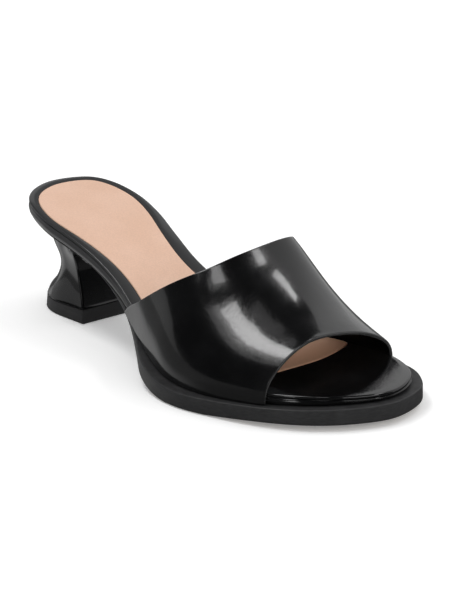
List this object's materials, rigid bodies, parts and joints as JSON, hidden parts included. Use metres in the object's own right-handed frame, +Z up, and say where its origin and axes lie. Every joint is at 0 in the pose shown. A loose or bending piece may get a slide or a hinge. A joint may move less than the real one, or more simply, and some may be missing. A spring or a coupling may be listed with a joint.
{
  "type": "slide sandal",
  "caption": "Backless open-toed heeled slide for the right foot, with one wide glossy leather band, a flat ledge round the forefoot and a flared hourglass heel.",
  "frame": {"origin": "on the floor under the middle of the whole shoe's box", "axes": "+X from the heel towards the toe, +Y towards the shoe's inner side, +Z up from the floor"},
  "size_m": [0.25, 0.1018, 0.0643],
  "materials": {
    "outsole": "matte black painted edge, natural tan underside",
    "footbed_leather": "smooth glossy black leather",
    "sock_leather": "smooth peach lining leather, low sheen",
    "upper_leather": "smooth black box leather with a high gloss",
    "heel_gloss": "high gloss black",
    "heel_lift": "matte black"
  },
  "bodies": {
    "root": {"outsole": "outsole", "footbed": "footbed_leather", "sock": "sock_leather", "upper": "upper_leather", "heel": "heel_gloss", "heel_lift": "heel_lift"}
  },
  "joints": []
}
